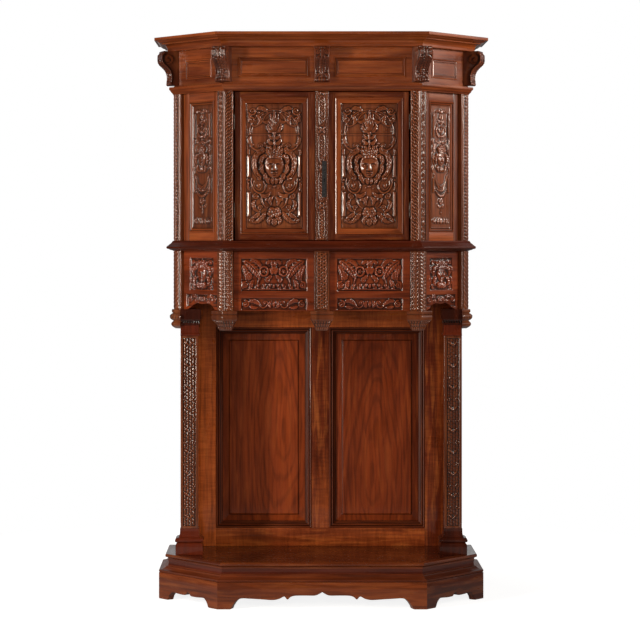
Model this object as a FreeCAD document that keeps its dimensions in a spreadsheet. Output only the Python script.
import FreeCAD, Part
import math
import os
import re
import Sketcher
from FreeCAD import Placement, Rotation, Vector

# A tall carved walnut cupboard with canted front corners: a plinth, an open niche,
# a stage with two drawers, a cabinet with two doors, and a frieze under a cornice.
# X runs to the right, Y to the back and Z up, from the middle of the footprint on the floor.

SIZES = [
    ("front_half_width", 358, "centre line to the front corner of the carcase"),
    ("cant_size", 194, "canted corners, sideways and front to rear"),
    ("carcase_depth", 410, "front of the corner posts to the rear"),
    ("plinth_height", 165, "floor to the top of the stage board"),
    ("niche_height", 918, "stage board to the foot of the drawer posts"),
    ("drawer_stage_height", 219, "foot of the drawer posts to the waist"),
    ("waist_height", 38, "waist moulding"),
    ("cabinet_height", 550, "waist to the architrave"),
    ("architrave_height", 26, "moulding over the doors"),
    ("frieze_height", 134, "plain band behind the corbels"),
    ("cornice_height", 50, "crown moulding"),
    ("side_thickness", 22, "side boards, frieze boards and rings"),
    ("board_thickness", 15, "floors, tops and dividers"),
    ("shelf_thickness", 18, "shelf in the cabinet"),
    ("back_thickness", 10, "back boards"),
    ("back_inset", 8, "rear edge to the back boards"),
    ("door_setback", 14, "doors and drawers behind the front of the posts"),
    ("door_thickness", 22, "doors, drawer fronts and canted infill"),
    ("rest_gap", 0.3, "clearance between pieces that only rest on each other"),
    ("apron_reach", 56, "apron in front of the carcase line"),
    ("apron_thickness", 22, "apron boards"),
    ("apron_height", 98, "apron boards"),
    ("apron_rise", 63, "floor to the peak of the shaped edge"),
    ("apron_foot", 46, "foot beside each corner"),
    ("side_rise", 34, "height of the plain side opening"),
    ("lower_moulding_height", 26, "lower plinth moulding"),
    ("lower_moulding_fillet", 8, "upright edge of the lower plinth moulding"),
    ("riser_height", 18, "hollow between the plinth mouldings"),
    ("riser_reach", 22, "riser in front of the carcase line"),
    ("upper_moulding_reach", 33, "upper plinth moulding"),
    ("upper_moulding_nose", 6, "radius of its nose"),
    ("block_size", 34, "glue blocks in the plinth"),
    ("frame_thickness", 28, "framing of the niche back"),
    ("panel_inner", 34, "centre line to the lower panels"),
    ("back_stile", 103, "stile of the niche back, panel to niche side"),
    ("bottom_rail", 70, "bottom rail of the niche back"),
    ("top_rail", 76, "visible top rail of the niche back"),
    ("bolection_width", 24, "moulding round the lower panels"),
    ("bolection_depth", 20, "moulding round the lower panels"),
    ("field_margin", 53, "moulding edge to the raised field"),
    ("panel_back", 10, "plain thickness behind the raised field"),
    ("field_depth", 8, "raised field on the lower panels"),
    ("pilaster_inset", 58, "side of the carcase to the middle of the pilaster"),
    ("pilaster_width", 66, "pilaster shaft"),
    ("pilaster_depth", 60, "pilaster shaft"),
    ("pilaster_forward", 25, "pilaster face in front of the outer corner of the carcase"),
    ("base_block_height", 47, "swelling block under the pilaster"),
    ("base_block_spread", 18, "block beyond the shaft"),
    ("base_mould_height", 18, "mould over the block"),
    ("base_mould_spread", 20, "mould beyond the shaft"),
    ("base_neck_height", 32, "plain block under the shaft"),
    ("base_neck_spread", 2, "plain block beyond the shaft"),
    ("capital_height", 99, "capital under the drawer stage"),
    ("capital_mould_height", 10, "mould at the foot of the capital"),
    ("capital_mould_spread", 6, "mould beyond the shaft"),
    ("capital_band_height", 34, "plain band of the capital"),
    ("capital_band_spread", 2, "plain band beyond the shaft"),
    ("capital_flutes_height", 17, "fluted band of the capital"),
    ("capital_flutes_spread", 4, "fluted band beyond the shaft"),
    ("capital_top_spread", 9, "top block beyond the shaft"),
    ("ceiling_rise", 22, "foot of the drawer fronts to the niche ceiling"),
    ("post_face", 33, "front face of the folded corner posts"),
    ("post_cant_face", 38, "canted face of the corner posts"),
    ("post_return", 5, "side face of the outer posts past their inner corner"),
    ("centre_post_width", 54, "post between the drawers"),
    ("pendant_height", 73, "drops under the posts"),
    ("pendant_spread", 15, "widest part of the drops beyond their posts"),
    ("pendant_gap", 0.3, "outer drops to the capitals beside them"),
    ("cant_arch_rise", 26, "arched lower edge of the canted fronts"),
    ("cant_arch_foot", 16, "flat of that edge beside each post"),
    ("drawer_gap", 1.5, "clearance round the drawer fronts"),
    ("drawer_side", 12, "drawer sides and backs"),
    ("drawer_bottom", 8, "drawer bottoms"),
    ("drawer_box_height", 140, "drawer sides"),
    ("drawer_rear_gap", 26, "drawer box to the back boards"),
    ("guide_width", 18, "guides outside the drawers"),
    ("guide_height", 40, "guides outside the drawers"),
    ("waist_reach", 29, "waist moulding"),
    ("waist_nose", 5, "radius of its nose"),
    ("waist_slope", 20, "sloping top of the waist moulding"),
    ("waist_cove", 6, "hollow under the waist nose"),
    ("architrave_reach", 19, "moulding over the doors"),
    ("architrave_fillet", 8, "upright edge of the architrave"),
    ("architrave_step", 5, "foot of the architrave"),
    ("cornice_reach", 73, "crown moulding"),
    ("cornice_fascia", 11, "upright top edge of the cornice"),
    ("cornice_drip", 6, "step under the fascia"),
    ("cornice_cove", 20, "hollow of the cornice"),
    ("cornice_bed", 24, "foot of the cornice"),
    ("corbel_width", 56, "corbels in the frieze"),
    ("corbel_reach", 56, "corbel top in front of the frieze"),
    ("corbel_height", 128, "corbels in the frieze"),
    ("frieze_panel_side", 19, "frieze moulding to the centre corbel"),
    ("frieze_corner_side", 51, "frieze moulding to the front corner"),
    ("frieze_cant_side", 66, "canted frieze moulding to the corners"),
    ("frieze_panel_low", 24, "foot of the frieze to its moulding"),
    ("frieze_panel_high", 37, "frieze moulding to the cornice"),
    ("frieze_panel_strip", 13, "width of the frieze moulding"),
    ("frieze_panel_proud", 5, "height of the frieze moulding"),
    ("door_gap", 6, "post to the hinged edge of the door"),
    ("door_edge_gap", 3, "doors to the mouldings above and below"),
    ("meeting_gap", 2.5, "between the two doors"),
    ("strip_half_width", 23, "strip planted on the meeting stile"),
    ("door_stile", 20, "visible plain stile"),
    ("meeting_stile", 24, "stile at the meeting edge"),
    ("door_rail", 21, "plain rails of the doors"),
    ("door_strip", 24, "sloping moulding round the door panels"),
    ("door_panel_sink", 4, "door moulding to the carved panel"),
    ("cant_stile", 30, "plain stile of the canted frames"),
    ("cant_rail", 32, "plain rails of the canted frames"),
    ("cant_strip", 15, "moulding round the canted panels"),
    ("shelf_height", 265, "cabinet floor to the underside of the shelf"),
    ("shelf_setback", 24, "shelf edge behind the doors"),
    ("batten_height", 20, "shelf battens"),
    ("hinge_inset", 110, "door ends to the middle of each hinge"),
    ("hinge_length", 54, "butt hinges"),
    ("knuckle_radius", 2.6, "hinge knuckles"),
    ("pin_radius", 1.2, "hinge pins"),
    ("pin_clearance", 0.06, "hinge pin in its bore"),
    ("leaf_thickness", 1.4, "hinge leaves"),
    ("leaf_depth", 20, "hinge leaves, front to rear"),
    ("escutcheon_width", 17, "steel plate on the strip"),
    ("escutcheon_height", 132, "steel plate on the strip"),
    ("escutcheon_thickness", 1.5, "steel plate on the strip"),
    ("escutcheon_side", 9, "centre line to the middle of the plate"),
    ("lock_height", 226, "cabinet floor to the middle of the lock"),
    ("keyhole_radius", 2.4, "round part of the keyhole"),
    ("keyhole_drop", 11, "slot under the round part"),
    ("lock_width", 58, "lock case"),
    ("lock_tall", 50, "lock case"),
    ("lock_depth", 12, "lock case"),
    ("bolt_height", 16, "lock bolt"),
    ("bolt_thickness", 5, "lock bolt"),
    ("bolt_rest", 19, "centre line to the tip of the withdrawn bolt"),
    ("bolt_length", 38, "lock bolt"),
    ("bolt_clearance", 0.4, "bolt in the case and in the keeper"),
    ("keeper_gap", 8, "lock case to the keeper"),
    ("keeper_width", 13, "keeper on the left door"),
]

doc = FreeCAD.newDocument("Cupboard")
sizes = doc.addObject("Spreadsheet::Sheet", "Sizes")
for line, (alias, value, meaning) in enumerate(SIZES, 1):
    sizes.set("A%d" % line, meaning)
    sizes.set("B%d" % line, str(value))
    sizes.setAlias("B%d" % line, alias)
doc.recompute()

SIZE_NAMES = {row[0] for row in SIZES}
parts = {}


def bind(text):
    """Turn a sum of size names into an expression on the spreadsheet."""
    return re.sub(r"[a-z]\w+", lambda word: "Sizes." * (word[0] in SIZE_NAMES) + word[0], str(text))


def number(text):
    """The present value of such a sum."""
    return float(sizes.evalExpression(bind(text)))


def minus(text):
    return "-(%s)" % text


def keep(label, piece):
    """Name a finished sub-part and list it for export."""
    piece.Label = label
    parts[label] = piece
    return piece


def place(piece, x="0", y="0", z="0", angle=0):
    """Turn a piece about Z, then bind its place, with y measured from the front of the posts."""
    piece.Placement = Placement(Vector(), Rotation(Vector(0, 0, 1), angle))
    piece.setExpression("Placement.Base.x", bind(x))
    piece.setExpression("Placement.Base.y", bind("%s + %s" % (y, FRONT_PLANE)))
    piece.setExpression("Placement.Base.z", bind(z))
    return piece


STAGES = [
    "plinth_height",
    "niche_height",
    "drawer_stage_height",
    "waist_height",
    "cabinet_height",
    "architrave_height",
    "frieze_height",
    "cornice_height",
]


def level(count):
    """Height of the top of the first stages."""
    return "(%s)" % " + ".join(STAGES[:count])


NICHE, DRAWERS, WAIST, CABINET = level(1), level(2), level(3), level(4)
ARCHITRAVE, FRIEZE, CORNICE, TOP = level(5), level(6), level(7), level(8)
FRONT_PLANE = "(cornice_reach - carcase_depth)/2"
SIDE = "(front_half_width + cant_size)"
HALF_CANT = "(cant_size*sqrt(2)/2)"
MITRE_SHARE = "(sqrt(2) - 1)"
WALL = "(door_setback + door_thickness)"
CEILING = "(%s + ceiling_rise)" % DRAWERS
BACK_FACE = "(carcase_depth - back_inset - back_thickness)"
SIDE_INNER = "(%s - side_thickness)" % SIDE
PILASTER_OUTER = "(%s - pilaster_inset + pilaster_width/2)" % SIDE
PILASTER_FRONT = "(cant_size - pilaster_forward)"
# The canted corners stand at this angle, so cant_size is both their depth and their width.
CANT_ANGLE = 45
# A nose is an arc a little flatter than a half circle: its radius and rise over half its height.
NOSE_RADIUS_SHARE = 1.1
NOSE_RISE_SHARE = 0.642
CANT_RIGHT = {
    "x": "front_half_width + cant_size/2",
    "y": "cant_size/2",
    "angle": CANT_ANGLE,
}


def sketch(body, name, role, points, offset="0", closed=True):
    """Draw an outline of bound points on an origin plane of the body.

    A point is (x, y), or (x, y, radius, turn) where the stretch that leads to it is an arc,
    with turn 1 for a centre on its left and -1 for a centre on its right.
    """
    drawing = body.newObject("Sketcher::SketchObject", name)
    plane = [item for item in body.Origin.OriginFeatures if item.Role == role][0]
    drawing.AttachmentSupport = (plane, [""])
    drawing.MapMode = "FlatFace"
    drawing.setExpression("AttachmentOffset.Base.z", bind(offset))
    spots = [Vector(number(point[0]), number(point[1]), 0) for point in points]
    count = len(points) if closed else len(points) - 1
    ends = []
    for index in range(count):
        start = spots[index]
        finish = spots[(index + 1) % len(spots)]
        target = points[(index + 1) % len(points)]
        if len(target) == 2:
            drawing.addGeometry(Part.LineSegment(start, finish), False)
            ends.append((1, 2))
            continue
        radius = number(target[2])
        turn = target[3]
        chord = finish - start
        rise = math.sqrt(max(radius**2 - chord.Length**2 / 4, 0))
        middle = (start + finish) / 2
        centre = middle + Vector(-chord.y, chord.x, 0).normalize() * rise * turn
        first, last = (start, finish) if turn > 0 else (finish, start)
        angles = [math.atan2(spot.y - centre.y, spot.x - centre.x) for spot in (first, last)]
        circle = Part.Circle(centre, Vector(0, 0, 1), radius)
        drawing.addGeometry(Part.ArcOfCircle(circle, *angles), False)
        ends.append((1, 2) if turn > 0 else (2, 1))
        rule = drawing.addConstraint(Sketcher.Constraint("Radius", index, radius))
        drawing.setExpression("Constraints[%d]" % rule, bind(target[2]))
    for index in range(count - (not closed)):
        after = (index + 1) % count
        joint = Sketcher.Constraint("Coincident", index, ends[index][1], after, ends[after][0])
        drawing.addConstraint(joint)
    for index, point in enumerate(points):
        edge, end = (index, ends[index][0]) if index < count else (index - 1, ends[index - 1][1])
        for kind, text in zip(("DistanceX", "DistanceY"), point):
            rule = drawing.addConstraint(Sketcher.Constraint(kind, -1, 1, edge, end, number(text)))
            if text != "0":
                drawing.setExpression("Constraints[%d]" % rule, bind(text))
    return drawing


def slab(name, role, points, start, length):
    """Pad an outline: XY upwards from start, XZ backwards from start, YZ to the right."""
    body = doc.addObject("PartDesign::Body", name)
    offset = minus("%s + %s" % (start, length)) if role == "XZ_Plane" else start
    outline = sketch(body, name + "_outline", role, points, offset)
    pad = body.newObject("PartDesign::Pad", name + "_pad")
    pad.Profile = outline
    pad.setExpression("Length", bind(length))
    body.Tip = pad
    return body


def box(name, x, y, z, origin="0"):
    """A rectangular board between pairs of bound places."""
    piece = doc.addObject("Part::Box", name)
    for side, (low, high) in zip(("Length", "Width", "Height"), (x, y, z)):
        piece.setExpression(side, bind("(%s) - (%s)" % (high, low)))
    for axis, low in zip("xyz", (x[0], "%s + %s" % (y[0], origin), z[0])):
        piece.setExpression("Placement.Base." + axis, bind(low))
    return piece


def board(label, x, y, z):
    """A box that is a sub-part by itself, its y measured from the front of the posts."""
    return keep(label, box(label, x, y, z, FRONT_PLANE))


def group(name, pieces):
    """Several separate solids as one sub-part."""
    compound = doc.addObject("Part::Compound", name)
    compound.Links = pieces
    return compound


def mirrored(piece):
    """The same piece on the other side of the centre line."""
    mirror = doc.addObject("Part::Mirroring", piece.Name + "_mirrored")
    mirror.Source = piece
    mirror.Normal = Vector(1, 0, 0)
    return mirror


def pair(label, piece, **where):
    """A right-hand piece and its left-hand twin."""
    right = place(group(label + "_right", [piece]), **where)
    return keep(label, group(label, [right, mirrored(right)]))


def joined(name, pieces):
    fusion = doc.addObject("Part::MultiFuse", name)
    fusion.Shapes = pieces
    return fusion


def without(name, piece, tool):
    cut = doc.addObject("Part::Cut", name)
    cut.Base = piece
    cut.Tool = tool
    return cut


def within(name, piece, tool):
    common = doc.addObject("Part::Common", name)
    common.Base = piece
    common.Tool = tool
    return common


def line_at(reach, side_reach=None):
    """Right half of the canted plan line, moved outwards by reach: its two corners."""
    side = reach if side_reach is None else side_reach
    corner = ("front_half_width + %s*(%s)" % (MITRE_SHARE, reach), minus(reach))
    outer_y = "cant_size + (%s) - sqrt(2)*(%s)" % (side, reach)
    return corner, ("%s + %s" % (SIDE, side), outer_y)


def canted_plan(reach, rear, side_reach=None):
    """Whole plan of a canted board, from the rear on the right to the rear on the left."""
    corner, outer = line_at(reach, side_reach)
    right = [(outer[0], rear), outer, corner]
    left = [(minus(x), y) for x, y in reversed(right)]
    return right + left


def canted_board(label, reach, low, height, rear="carcase_depth", side_reach=None):
    plan = canted_plan(reach, rear, side_reach)
    return keep(label, place(slab(label, "XY_Plane", plan, low, height)))


def ring(label, profile):
    """A moulding carried round the front, cants and sides.

    The profile holds (reach, height) points, counter-clockwise with reach to the right.
    """
    body = doc.addObject("PartDesign::Body", label)
    route = sketch(body, label + "_route", "XY_Plane", canted_plan("0", "carcase_depth"), closed=False)
    places = [("%s + %s" % (SIDE, point[0]),) + tuple(point[1:]) for point in profile]
    section = sketch(body, label + "_section", "XZ_Plane", places, minus("carcase_depth"))
    pipe = body.newObject("PartDesign::AdditivePipe", label + "_run")
    pipe.Profile = section
    pipe.Spine = (route, [])
    pipe.Transition = "Right corner"
    body.Tip = pipe
    return keep(label, place(body))


def above(base, *rises):
    """A height over a base level."""
    return " + ".join([base, *rises])


def frame_strips(name, x, z, y, widths):
    """Two uprights and two cross pieces round an opening, widths being left, right, low, high."""
    left, right, low, high = widths
    inner = ("%s + %s" % (x[0], left), "%s - (%s)" % (x[1], right))
    return [
        box(name + "_left", (x[0], inner[0]), y, z),
        box(name + "_right", (inner[1], x[1]), y, z),
        box(name + "_low", inner, y, (z[0], "%s + %s" % (z[0], low))),
        box(name + "_high", inner, y, ("%s - (%s)" % (z[1], high), z[1])),
    ]


def plinth():
    """Bracket-footed aprons, two mouldings with a hollow between, and the stage board."""
    inner = "(apron_reach - apron_thickness)"
    # Shares of the clear half width and of the rise, from the middle to the foot.
    edge_shares = [(0, 1), (0.08, 0.79), (0.29, 0.79), (0.37, 0.58), (0.41, 0.74)]
    edge_shares += [(0.47, 0.6), (0.54, 0.54), (0.79, 0.62), (0.89, 0.62), (0.96, 0.36), (1, 0)]
    clear = "(front_half_width + %s*apron_reach - apron_foot)" % MITRE_SHARE
    right = [("%s*%s" % (clear, x), "apron_rise*%s" % z) for x, z in edge_shares]
    left = [(minus(x), z) for x, z in reversed(right[1:])]
    outer_end = "front_half_width + %s*apron_reach" % MITRE_SHARE
    inner_end = "front_half_width + %s*%s" % (MITRE_SHARE, inner)
    shape = left + right + [(outer_end, "0"), (outer_end, "apron_height")]
    shape += [(minus(outer_end), "apron_height"), (minus(outer_end), "0")]
    face = slab("front_apron_face", "XZ_Plane", shape, minus("apron_reach"), "apron_thickness")
    plan = [(minus(outer_end), minus("apron_reach")), (outer_end, minus("apron_reach"))]
    plan += [(inner_end, minus(inner)), (minus(inner_end), minus(inner))]
    ends = slab("front_apron_plan", "XY_Plane", plan, "0", "apron_height")
    keep("front_apron", place(within("front_apron", face, ends)))

    outer_end = "(%s + %s*apron_reach)" % (HALF_CANT, MITRE_SHARE)
    inner_end = "(%s + %s*%s)" % (HALF_CANT, MITRE_SHARE, inner)
    clear = "(%s - apron_foot)" % outer_end
    edge_shares = [(0, 0.7), (0.12, 0.5), (0.62, 0.48), (0.85, 0.36), (1, 0)]
    right = [("%s*%s" % (clear, x), "apron_rise*%s" % z) for x, z in edge_shares]
    left = [(minus(x), z) for x, z in reversed(right[1:])]
    shape = left + right + [(outer_end, "0"), (outer_end, "apron_height")]
    shape += [(minus(outer_end), "apron_height"), (minus(outer_end), "0")]
    face = slab("cant_apron_face", "XZ_Plane", shape, minus("apron_reach"), "apron_thickness")
    plan = [(minus(outer_end), minus("apron_reach")), (outer_end, minus("apron_reach"))]
    plan += [(inner_end, minus(inner)), (minus(inner_end), minus(inner))]
    ends = slab("cant_apron_plan", "XY_Plane", plan, "0", "apron_height")
    pair("cant_aprons", within("cant_apron", face, ends), **CANT_RIGHT)

    _, outer = line_at("apron_reach")
    _, hidden = line_at(inner)
    plan = [outer, (outer[0], "carcase_depth"), (hidden[0], "carcase_depth"), hidden]
    side = slab("side_apron_plan", "XY_Plane", plan, "0", "apron_height")
    # Share of the side apron's length that each foot takes.
    foot_share = 0.377
    foot = "%s*(carcase_depth - (%s))" % (foot_share, outer[1])
    opening = box(
        "side_apron_opening",
        (SIDE, "%s + 2*apron_reach" % SIDE),
        ("%s + %s" % (outer[1], foot), "carcase_depth - %s" % foot),
        (minus("side_rise"), "side_rise"),
    )
    pair("side_aprons", without("side_apron", side, opening))

    rail_end = "%s + %s" % (SIDE, inner)
    board(
        "plinth_back_rail",
        (minus(rail_end), rail_end),
        ("carcase_depth - apron_thickness", "carcase_depth"),
        ("side_rise", "apron_height"),
    )

    corner, outer = line_at(inner)
    front_block = box(
        "front_glue_block",
        ("%s - 2*block_size" % corner[0], "%s - block_size/2" % corner[0]),
        (corner[1], "%s + block_size" % corner[1]),
        ("apron_rise", "apron_height"),
    )
    rear_block = box(
        "rear_glue_block",
        ("%s - block_size" % outer[0], outer[0]),
        ("carcase_depth - apron_thickness - block_size", "carcase_depth - apron_thickness"),
        ("side_rise", "apron_height"),
    )
    pair("glue_blocks", group("right_glue_blocks", [front_block, rear_block]))

    backing = minus("side_thickness")
    low = "apron_height"
    high = above(low, "lower_moulding_height")
    ring("lower_plinth_moulding", [
        (backing, low),
        ("apron_reach", low),
        ("apron_reach", above(low, "lower_moulding_fillet")),
        ("riser_reach + lower_moulding_fillet", "%s - lower_moulding_fillet/2" % high),
        ("riser_reach", high),
        (backing, high),
    ])
    low, high = high, above(high, "riser_height")
    ring("plinth_riser", [
        (backing, low),
        ("riser_reach", low),
        ("riser_reach", high),
        (backing, high),
    ])
    low = high
    nose = "upper_moulding_reach - %s*upper_moulding_nose" % NOSE_RISE_SHARE
    ring("upper_plinth_moulding", [
        ("0", low),
        ("riser_reach", low),
        (nose, "%s - 2*upper_moulding_nose" % NICHE),
        (nose, NICHE, "%s*upper_moulding_nose" % NOSE_RADIUS_SHARE, 1),
        ("0", NICHE),
    ])
    canted_board("stage_board", "0", low, "%s - (%s)" % (NICHE, low))



def loft(name, sections):
    """A solid with flat sides through outlines at rising heights."""
    body = doc.addObject("PartDesign::Body", name)
    outlines = []
    for index, (points, height) in enumerate(sections):
        outlines.append(sketch(body, "%s_%d" % (name, index), "XY_Plane", points, height))
    solid = body.newObject("PartDesign::AdditiveLoft", name + "_loft")
    solid.Profile = outlines[0]
    solid.Sections = outlines[1:]
    solid.Ruled = True
    body.Tip = solid
    return body


def niche():
    """Framed back with two raised panels, side walls, and a pilaster on each side."""
    wall_inner = "(%s - side_thickness)" % PILASTER_OUTER
    wall_front = "%s + pilaster_depth" % PILASTER_FRONT
    frame_rear = "(carcase_depth - back_inset)"
    frame = ("%s - frame_thickness" % frame_rear, frame_rear)
    panel_outer = "(%s - back_stile)" % wall_inner
    rails = ("%s + bottom_rail" % NICHE, "%s - top_rail" % DRAWERS)
    rear = "%s - panel_back" % frame_rear

    stile = box("outer_stile", (panel_outer, wall_inner), frame, (NICHE, CEILING))
    other = mirrored(stile)
    muntin = box("back_muntin", (minus("panel_inner"), "panel_inner"), frame, rails)
    across = (minus(panel_outer), panel_outer)
    low = box("back_low_rail", across, frame, (NICHE, rails[0]))
    high = box("back_high_rail", across, frame, (rails[1], CEILING))
    keep("back_frame", place(group("back_frame", [stile, other, muntin, low, high])))

    across = ("panel_inner", panel_outer)
    flat = box("lower_panel_flat", across, (rear, frame[1]), rails)
    field = box(
        "lower_panel_field",
        ("panel_inner + field_margin", "%s - field_margin" % panel_outer),
        ("%s - field_depth" % rear, rear),
        ("%s + field_margin" % rails[0], "%s - field_margin" % rails[1]),
    )
    pair("lower_panels", joined("lower_panel", [flat, field]))
    widths = ["bolection_width"] * 4
    depth = ("%s - bolection_depth" % rear, rear)
    pair("lower_panel_mouldings", group(
        "lower_panel_moulding",
        frame_strips("bolection", across, rails, depth, widths),
    ))
    pair("niche_sides", box(
        "niche_side",
        (wall_inner, PILASTER_OUTER),
        (wall_front, frame_rear),
        (NICHE, CEILING),
    ))

    foot = above(NICHE, "base_block_height", "base_mould_height", "base_neck_height")
    head = "%s - capital_height" % DRAWERS
    pair("pilasters", box(
        "pilaster",
        ("%s - pilaster_width" % PILASTER_OUTER, PILASTER_OUTER),
        (PILASTER_FRONT, wall_front),
        (foot, head),
    ))
    pair("pilaster_bases", stack("pilaster_base", NICHE, [
        ("base_block_spread", "base_block_spread", "base_block_height"),
        ("base_mould_spread", "base_mould_spread", "base_mould_height"),
        ("base_neck_spread", "base_neck_spread", "base_neck_height"),
    ]))
    lower = "capital_mould_height + capital_band_height + capital_flutes_height"
    pair("pilaster_capitals", stack("pilaster_capital", head, [
        ("capital_mould_spread", "0", "capital_mould_height"),
        ("capital_band_spread", "0", "capital_band_height"),
        ("capital_flutes_spread", "0", "capital_flutes_height"),
        ("capital_top_spread", "0", "capital_height - (%s)" % lower),
    ]))


def stack(name, base, courses):
    """Courses of a base or capital round the pilaster, each (inner spread, outer spread, height)."""
    pieces = []
    low = base
    for index, (inner, outer, height) in enumerate(courses):
        high = "%s + %s" % (low, height)
        pieces.append(box(
            "%s_%d" % (name, index),
            ("%s - pilaster_width - %s" % (PILASTER_OUTER, inner), "%s + %s" % (PILASTER_OUTER, outer)),
            ("%s - %s" % (PILASTER_FRONT, inner), "%s + pilaster_depth" % PILASTER_FRONT),
            (low, high),
        ))
        low = high
    return joined(name, pieces)


def front_post_plan():
    """A post folded round the front corner, from its inner front edge, counter-clockwise."""
    edge = "front_half_width - post_face"
    inner_corner = line_at(minus(WALL))[0]
    far = "front_half_width + post_cant_face/sqrt(2)"
    return [
        (edge, "0"),
        ("front_half_width", "0"),
        (far, "post_cant_face/sqrt(2)"),
        ("%s - %s/sqrt(2)" % (far, WALL), "(post_cant_face + %s)/sqrt(2)" % WALL),
        inner_corner,
        (edge, WALL),
    ]


def outer_post_plan():
    """A post folded round the outer corner, with a short face on the side."""
    near = "%s - post_cant_face/sqrt(2)" % SIDE
    near_y = "cant_size - post_cant_face/sqrt(2)"
    inner_y = "cant_size - side_thickness + sqrt(2)*%s" % WALL
    end = "%s + post_return" % inner_y
    return [
        (near, near_y),
        (SIDE, "cant_size"),
        (SIDE, end),
        (SIDE_INNER, end),
        (SIDE_INNER, inner_y),
        ("%s - %s/sqrt(2)" % (near, WALL), "%s + %s/sqrt(2)" % (near_y, WALL)),
    ]


def posts(stage, low, high):
    """The folded posts of one stage and the plain side boards behind them."""
    height = "%s - %s" % (high, low)
    pair("front_%s_posts" % stage, slab("front_%s_post" % stage, "XY_Plane", front_post_plan(), low, height))
    plan = outer_post_plan()
    pair("outer_%s_posts" % stage, slab("outer_%s_post" % stage, "XY_Plane", plan, low, height))
    depth = (plan[2][1], "carcase_depth - back_inset")
    pair("%s_stage_sides" % stage, box(
        "%s_stage_side" % stage, (SIDE_INNER, SIDE), depth, (low, high)
    ))


def drops():
    """Tapering drops under the five posts of the drawer stage."""
    # Shares of the drop's height, from its foot, with shares of its widest spread there.
    course_shares = [(0, -0.5), (0.2, -0.1), (0.5, 0.6), (0.65, 1), (0.9, 1), (1, 0.5)]
    low = "%s - pendant_height" % DRAWERS
    inner_x = "%s + pendant_gap" % PILASTER_OUTER
    end = outer_post_plan()[2][1]
    centre, front, outer = [], [], []
    for rise, spread in course_shares:
        height = "%s + pendant_height*%s" % (low, rise)
        swell = "(pendant_spread*(%s))" % spread
        half = "centre_post_width/2 + %s" % swell
        centre.append(([
            (minus(half), minus(swell)), (half, minus(swell)), (half, WALL), (minus(half), WALL),
        ], height))
        edge = "front_half_width - post_face - %s" % swell
        far = "front_half_width + (post_cant_face + 2*%s)/sqrt(2)" % swell
        front.append(([
            (edge, minus(swell)),
            line_at(swell)[0],
            (far, "post_cant_face/sqrt(2)"),
            ("%s - (%s + %s)/sqrt(2)" % (far, WALL, swell),
             "(post_cant_face + %s + %s)/sqrt(2)" % (WALL, swell)),
            (edge, WALL),
        ], height))
        outer.append(([
            (inner_x, "%s - front_half_width - sqrt(2)*%s" % (inner_x, swell)),
            line_at(swell)[1],
            ("%s + %s" % (SIDE, swell), end),
            (inner_x, end),
        ], height))
    keep("centre_pendant", place(loft("centre_drop", centre)))
    corner_drops = [loft("front_drop", front), loft("outer_drop", outer)]
    pair("corner_pendants", group("right_drops", corner_drops))


def drawer_stage():
    """Posts, canted fronts with an arched lower edge, floor, guides and divider."""
    posts("drawer", DRAWERS, WAIST)
    half = "centre_post_width/2"
    board("centre_post", (minus(half), half), ("0", WALL), (DRAWERS, WAIST))
    drops()
    reach = "(%s - post_cant_face)" % HALF_CANT
    # Shares of the clear half length and of the arch, from the middle outwards.
    arch_shares = [(0, 0.85), (0.3, 1), (0.6, 0.75), (0.82, 0.2)]
    right = [("%s*%s" % (reach, x), "%s + cant_arch_rise*%s" % (DRAWERS, z)) for x, z in arch_shares]
    right += [("%s - cant_arch_foot" % reach, DRAWERS), (reach, DRAWERS), (reach, WAIST)]
    shape = [(minus(x), z) for x, z in reversed(right[1:])] + right
    front = slab("drawer_cant", "XZ_Plane", shape, "door_setback", "door_thickness")
    pair("drawer_cant_fronts", front, **CANT_RIGHT)

    rear = BACK_FACE
    canted_board("drawer_stage_floor", minus(WALL), CEILING, "board_thickness", rear, minus("side_thickness"))
    floor = "%s + board_thickness" % CEILING
    thick = "board_thickness/2"
    board("drawer_divider", (minus(thick), thick), (WALL, rear), (floor, WAIST_FLOOR))
    guide = (floor, "%s + guide_height" % floor)
    post_edge = "front_half_width - post_face"
    pair("drawer_guides", group("right_drawer_guides", [
        box("outer_guide", (post_edge, "%s + guide_width" % post_edge), (WALL, rear), guide),
        box("inner_guide", (thick, half), (WALL, rear), guide),
    ]))


def drawers():
    """Two drawers that run on the stage floor, each a front and a box of four boards."""
    x = ("centre_post_width/2 + drawer_gap", "front_half_width - post_face - drawer_gap")
    front = box("drawer_front", x, ("door_setback", WALL), (DRAWERS, "%s - drawer_gap" % WAIST))
    low = "%s + board_thickness + rest_gap" % CEILING
    z = (low, "%s + drawer_box_height" % low)
    rear = "%s - drawer_rear_gap" % BACK_FACE
    inner = ("%s + drawer_side" % x[0], "%s - drawer_side" % x[1])
    back_front = "%s - drawer_side" % rear
    boards = [
        box("drawer_inner_side", (x[0], inner[0]), (WALL, rear), z),
        box("drawer_outer_side", (inner[1], x[1]), (WALL, rear), z),
        box("drawer_back", inner, (back_front, rear), z),
        box("drawer_base", inner, (WALL, back_front), (low, "%s + drawer_bottom" % low)),
    ]
    for label, pieces in (("drawer_front", [front]), ("drawer_box", boards)):
        right = keep("right_" + label, place(group("right_%s_pieces" % label, pieces)))
        keep("left_" + label, mirrored(right))


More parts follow.
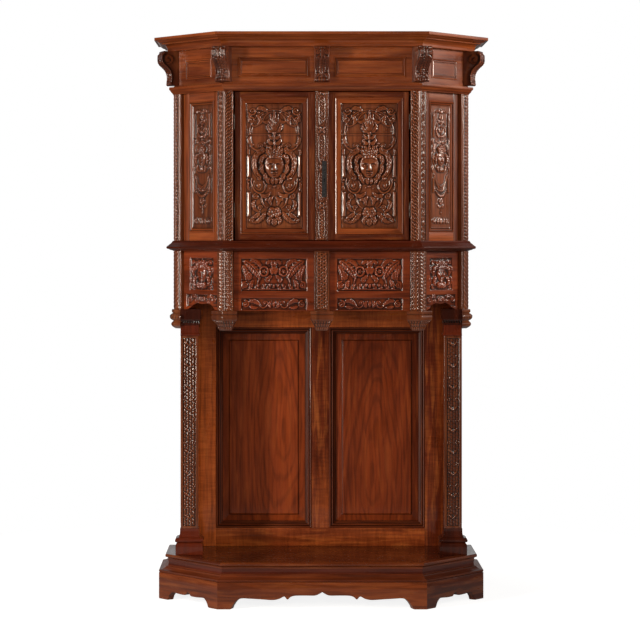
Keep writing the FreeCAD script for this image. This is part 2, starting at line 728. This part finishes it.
def cabinet():
    """Waist, floor, posts, canted frames, sides, shelf and back boards."""
    backing = minus("side_thickness")
    nose = "waist_reach - %s*waist_nose" % NOSE_RISE_SHARE
    ring("waist_moulding", [
        (backing, WAIST),
        ("waist_cove", WAIST),
        (nose, "%s - waist_slope - 2*waist_nose" % CABINET),
        (nose, "%s - waist_slope" % CABINET, "%s*waist_nose" % NOSE_RADIUS_SHARE, 1),
        ("waist_cove", CABINET),
        (backing, CABINET),
    ])
    canted_board("cabinet_floor", backing, WAIST_FLOOR, "board_thickness", BACK_FACE)
    posts("cabinet", CABINET, ARCHITRAVE)

    reach = "(%s - post_cant_face)" % HALF_CANT
    x = (minus(reach), reach)
    z = (CABINET, ARCHITRAVE)
    depth = ("door_setback", WALL)
    stiles = frame_strips("cant_frame", x, z, depth, ["cant_stile"] * 2 + ["cant_rail"] * 2)
    x = (minus("%s - cant_stile" % reach), "%s - cant_stile" % reach)
    z = (above(CABINET, "cant_rail"), "%s - cant_rail" % ARCHITRAVE)
    strips = frame_strips("cant_strip", x, z, depth, ["cant_strip"] * 4)
    pair("cabinet_cant_frames", group("cant_frame", stiles + strips), **CANT_RIGHT)
    pair("cabinet_cant_panels", box(
        "cant_panel",
        ("%s + cant_strip" % x[0], "%s - cant_strip" % x[1]),
        ("door_setback + door_panel_sink", WALL),
        (above(z[0], "cant_strip"), "%s - cant_strip" % z[1]),
    ), **CANT_RIGHT)

    low = above(CABINET, "shelf_height")
    edge = "%s + shelf_setback" % WALL
    canted_board("shelf", minus(edge), low, "shelf_thickness", BACK_FACE, backing)
    pair("shelf_battens", box(
        "shelf_batten",
        ("%s - batten_height" % SIDE_INNER, SIDE_INNER),
        ("cant_size - side_thickness + sqrt(2)*(%s)" % edge, BACK_FACE),
        ("%s - batten_height" % low, low),
    ))
    depth = (BACK_FACE, "carcase_depth - back_inset")
    inner_back = box("inner_back", ("0", "%s/2" % SIDE_INNER), depth, (CEILING, TOP))
    outer_back = box("outer_back", ("%s/2" % SIDE_INNER, SIDE_INNER), depth, (CEILING, TOP))
    pair("back_boards", group("right_back", [inner_back, outer_back]))


WAIST_FLOOR = "(%s - board_thickness)" % CABINET
DOOR_HEIGHTS = ("%s + door_edge_gap" % CABINET, "%s - door_edge_gap" % ARCHITRAVE)
DOOR_EDGE = "(front_half_width - post_face - door_gap)"
LOCK_HEIGHT = "(%s + lock_height)" % CABINET


def keyhole(name, length):
    """The shape that a keyhole takes out of the plate, the strip and the stile behind them."""
    round_part = doc.addObject("Part::Cylinder", name + "_round")
    round_part.Placement = Placement(Vector(), Rotation(Vector(1, 0, 0), -90))
    round_part.setExpression("Radius", bind("keyhole_radius"))
    round_part.setExpression("Height", bind(length))
    round_part.setExpression("Placement.Base.x", bind("escutcheon_side"))
    round_part.setExpression("Placement.Base.y", bind("-2*escutcheon_thickness"))
    round_part.setExpression("Placement.Base.z", bind(LOCK_HEIGHT))
    slot = box(
        name + "_slot",
        ("escutcheon_side - keyhole_radius/2", "escutcheon_side + keyhole_radius/2"),
        ("-2*escutcheon_thickness", "%s - 2*escutcheon_thickness" % length),
        ("%s - keyhole_drop" % LOCK_HEIGHT, LOCK_HEIGHT),
    )
    return joined(name, [round_part, slot])


def door(side, x, left_stile, right_stile):
    """A framed door with a sloping moulding round its carved panel."""
    depth = ("door_setback", WALL)
    widths = [left_stile, right_stile, "door_rail", "door_rail"]
    frame = frame_strips(side + "_door", x, DOOR_HEIGHTS, depth, widths)
    if side == "right":
        frame[0] = without("right_lock_stile", frame[0], keyhole("stile_keyhole", "3*%s" % WALL))
    x = ("%s + %s" % (x[0], left_stile), "%s - (%s)" % (x[1], right_stile))
    z = (above(DOOR_HEIGHTS[0], "door_rail"), "%s - door_rail" % DOOR_HEIGHTS[1])
    strips = frame_strips(side + "_strip", x, z, depth, ["door_strip"] * 4)
    keep(side + "_door_frame", place(group(side + "_door_frame", frame + strips)))
    board(
        side + "_door_panel",
        ("%s + door_strip" % x[0], "%s - door_strip" % x[1]),
        ("door_setback + door_panel_sink", WALL),
        (above(z[0], "door_strip"), "%s - door_strip" % z[1]),
    )


def doors():
    """Both doors, the strip that covers the meeting line, the lock and the hinges."""
    left_edge = "(-strip_half_width - meeting_gap)"
    door("left", (minus(DOOR_EDGE), left_edge), "door_stile", "meeting_stile")
    hidden = "(2*strip_half_width + meeting_gap + meeting_stile)"
    door("right", (minus("strip_half_width"), DOOR_EDGE), hidden, "door_stile")
    strip = box("strip", (minus("strip_half_width"), "strip_half_width"), ("0", "door_setback"), DOOR_HEIGHTS)
    keep("centre_strip", place(without("centre_strip", strip, keyhole("strip_keyhole", "3*%s" % WALL))))
    plate = box(
        "plate",
        ("escutcheon_side - escutcheon_width/2", "escutcheon_side + escutcheon_width/2"),
        (minus("escutcheon_thickness"), "0"),
        ("%s - escutcheon_height/2" % LOCK_HEIGHT, "%s + escutcheon_height/2" % LOCK_HEIGHT),
    )
    hole = keyhole("plate_keyhole", "4*escutcheon_thickness")
    keep("escutcheon", place(without("escutcheon", plate, hole)))
    lock()
    hinges()


def lock():
    """A case on the inside of the right door, its bolt, and a keeper on the left door."""
    case_left = "(bolt_clearance - bolt_rest)"
    middle = "(%s + lock_depth/2)" % WALL
    depth = (WALL, "%s + lock_depth" % WALL)
    tall = ("%s - lock_tall/2" % LOCK_HEIGHT, "%s + lock_tall/2" % LOCK_HEIGHT)
    channel_depth = (
        "%s - bolt_thickness/2 - bolt_clearance" % middle,
        "%s + bolt_thickness/2 + bolt_clearance" % middle,
    )
    channel_tall = (
        "%s - bolt_height/2 - bolt_clearance" % LOCK_HEIGHT,
        "%s + bolt_height/2 + bolt_clearance" % LOCK_HEIGHT,
    )
    case = box("case", (case_left, "%s + lock_width" % case_left), depth, tall)
    tail = "bolt_length - bolt_rest + bolt_clearance"
    channel = box("case_channel", (minus("2*bolt_rest"), tail), channel_depth, channel_tall)
    keep("lock_case", place(without("lock_case", case, channel)))
    board(
        "lock_bolt",
        (minus("bolt_rest"), "bolt_length - bolt_rest"),
        ("%s - bolt_thickness/2" % middle, "%s + bolt_thickness/2" % middle),
        ("%s - bolt_height/2" % LOCK_HEIGHT, "%s + bolt_height/2" % LOCK_HEIGHT),
    )
    keeper_right = "%s - keeper_gap" % case_left
    keeper = box("keeper", ("%s - keeper_width" % keeper_right, keeper_right), depth, tall)
    slot = box(
        "keeper_slot",
        ("%s - 2*keeper_width" % keeper_right, "%s + keeper_width" % keeper_right),
        channel_depth,
        channel_tall,
    )
    keep("lock_keeper", place(without("lock_keeper", keeper, slot)))


def hinges():
    """Butt hinges in the gap beside each door: the pin stays with the leaf on the post."""
    axis_x = "(%s + door_gap/2)" % DOOR_EDGE
    third = "(hinge_length/3)"
    fixed, moving = [], []
    middles = (
        "(%s + hinge_inset)" % DOOR_HEIGHTS[0],
        "(%s - hinge_inset)" % DOOR_HEIGHTS[1],
    )
    leaf_front = "door_setback + knuckle_radius + rest_gap"
    leaf_depth = (leaf_front, "%s + leaf_depth" % leaf_front)
    post = "(%s + door_gap)" % DOOR_EDGE
    for index, middle in enumerate(middles):
        name = "hinge_%d" % index
        ends = [
            ("%s - 1.5*%s" % (middle, third), "%s - 0.5*%s - rest_gap" % (middle, third)),
            ("%s + 0.5*%s + rest_gap" % (middle, third), "%s + 1.5*%s" % (middle, third)),
        ]
        span = (ends[0][0], ends[1][1])
        pieces = [rod(name + "_pin", axis_x, "pin_radius", span)]
        plate = (post + " - leaf_thickness", post)
        pieces.append(box(name + "_post_leaf", plate, leaf_depth, span))
        for turn, end in enumerate(ends):
            pieces.append(rod("%s_knuckle_%d" % (name, turn), axis_x, "knuckle_radius", end))
            web = ("door_setback", leaf_depth[1])
            pieces.append(box("%s_web_%d" % (name, turn), plate, web, end))
        fixed.append(joined(name + "_post", pieces))
        core = ("%s - 0.5*%s" % (middle, third), "%s + 0.5*%s" % (middle, third))
        plate = (DOOR_EDGE, DOOR_EDGE + " + leaf_thickness")
        leaf = joined(name + "_door", [
            rod(name + "_door_knuckle", axis_x, "knuckle_radius", core),
            box(name + "_door_web", plate, ("door_setback", leaf_depth[1]), core),
            box(name + "_door_leaf", plate, leaf_depth, span),
        ])
        bore = rod(name + "_bore", axis_x, "pin_radius + pin_clearance", span)
        moving.append(without(name + "_bored", leaf, bore))
    pair("post_hinge_leaves", group("right_post_leaves", fixed))
    right = keep("right_hinge_leaves", place(group("right_door_leaves", moving)))
    keep("left_hinge_leaves", mirrored(right))


def rod(name, x, radius, z):
    """An upright round bar on the hinge line."""
    bar = doc.addObject("Part::Cylinder", name)
    bar.setExpression("Radius", bind(radius))
    bar.setExpression("Height", bind("(%s) - (%s)" % (z[1], z[0])))
    bar.setExpression("Placement.Base.x", bind(x))
    bar.setExpression("Placement.Base.y", bind("door_setback"))
    bar.setExpression("Placement.Base.z", bind(z[0]))
    return bar


def corbel(name):
    """An S-shaped bracket, deeper at its head, in its own YZ plane."""
    # Shares of the reach and of the height, up the front from the foot.
    front_shares = [(0.32, 0), (0.38, 0.07), (0.3, 0.16), (0.34, 0.34), (0.52, 0.5)]
    front_shares += [(0.84, 0.62), (1, 0.78), (0.96, 0.9), (0.8, 0.96), (0.86, 1)]
    low = "%s - corbel_height" % CORNICE
    rear = "corbel_width"
    outline = [(rear, low)]
    outline += [("-corbel_reach*%s" % y, "%s + corbel_height*%s" % (low, z)) for y, z in front_shares]
    outline += [(rear, CORNICE)]
    return slab(name, "YZ_Plane", list(reversed(outline)), "-corbel_width/2", "corbel_width")


def turned(piece, x, y, angle):
    """Turn a piece about Z and put it on the plan, before the whole is placed."""
    piece.Placement = Placement(Vector(), Rotation(Vector(0, 0, 1), angle))
    piece.setExpression("Placement.Base.x", bind(x))
    piece.setExpression("Placement.Base.y", bind(y))
    return piece


def crown():
    """Architrave, frieze with its framed panels and corbels, and the cornice."""
    backing = minus("side_thickness")
    ring("architrave", [
        (backing, ARCHITRAVE),
        ("architrave_step", ARCHITRAVE),
        ("architrave_reach", "%s - architrave_fillet" % FRIEZE),
        ("architrave_reach", FRIEZE),
        (backing, FRIEZE),
    ])
    canted_board("cabinet_top", backing, ARCHITRAVE, "board_thickness", BACK_FACE)
    ring("frieze", [(backing, FRIEZE), ("0", FRIEZE), ("0", CORNICE), (backing, CORNICE)])
    bed = "cornice_bed + cornice_cove"
    ring("cornice", [
        (backing, CORNICE),
        ("cornice_bed", CORNICE),
        ("cornice_bed", above(CORNICE, "cornice_drip")),
        (bed, above(CORNICE, "cornice_drip", "cornice_cove"), "cornice_cove", -1),
        ("cornice_reach - cornice_drip", "%s - cornice_fascia" % TOP),
        ("cornice_reach", "%s - cornice_fascia" % TOP),
        ("cornice_reach", TOP),
        (backing, TOP),
    ])
    canted_board("cornice_board", backing, "%s - board_thickness" % TOP, "board_thickness", BACK_FACE)

    solid = slab("frieze_body", "XY_Plane", canted_plan("0", "carcase_depth"), FRIEZE, "frieze_height")
    keep("centre_corbel", place(without("centre_corbel", corbel("middle_corbel"), solid)))
    front = turned(corbel("front_corner_corbel"), "front_half_width", "0", CANT_ANGLE / 2)
    outer = turned(corbel("outer_corner_corbel"), SIDE, "cant_size", 1.5 * CANT_ANGLE)
    corners = [without("front_corbel", front, solid), without("outer_corbel", outer, solid)]
    pair("corner_corbels", group("right_corbels", corners))

    z = (above(FRIEZE, "frieze_panel_low"), "%s - frieze_panel_high" % CORNICE)
    widths = ["frieze_panel_strip"] * 4
    depth = (minus("frieze_panel_proud"), "0")
    x = ("frieze_panel_side + corbel_width/2", "front_half_width - frieze_corner_side")
    front = frame_strips("frieze_strip", x, z, depth, widths)
    reach = "(%s - frieze_cant_side)" % HALF_CANT
    cant = group("cant_frieze_panel", frame_strips("cant_strips", (minus(reach), reach), z, depth, widths))
    turned(cant, CANT_RIGHT["x"], CANT_RIGHT["y"], CANT_RIGHT["angle"])
    pair("frieze_panel_mouldings", group("right_frieze_panels", front + [cant]))


def check_and_write():
    """Stop if any object failed, then write each sub-part to its own file."""
    doc.recompute()
    failed = [item.Label for item in doc.Objects if {"Invalid", "Error"} & set(item.State)]
    if failed:
        raise RuntimeError("these failed: %s" % failed)
    for label, piece in parts.items():
        if piece.Shape.isNull() or not piece.Shape.isValid() or not piece.Shape.Solids:
            raise RuntimeError("%s has no sound shape" % label)
    os.makedirs("parts", exist_ok=True)
    for label, piece in parts.items():
        piece.Shape.exportStep("parts/%s.step" % label)
    print("%d sub-parts" % len(parts))


plinth()
niche()
drawer_stage()
drawers()
cabinet()
doors()
crown()
check_and_write()
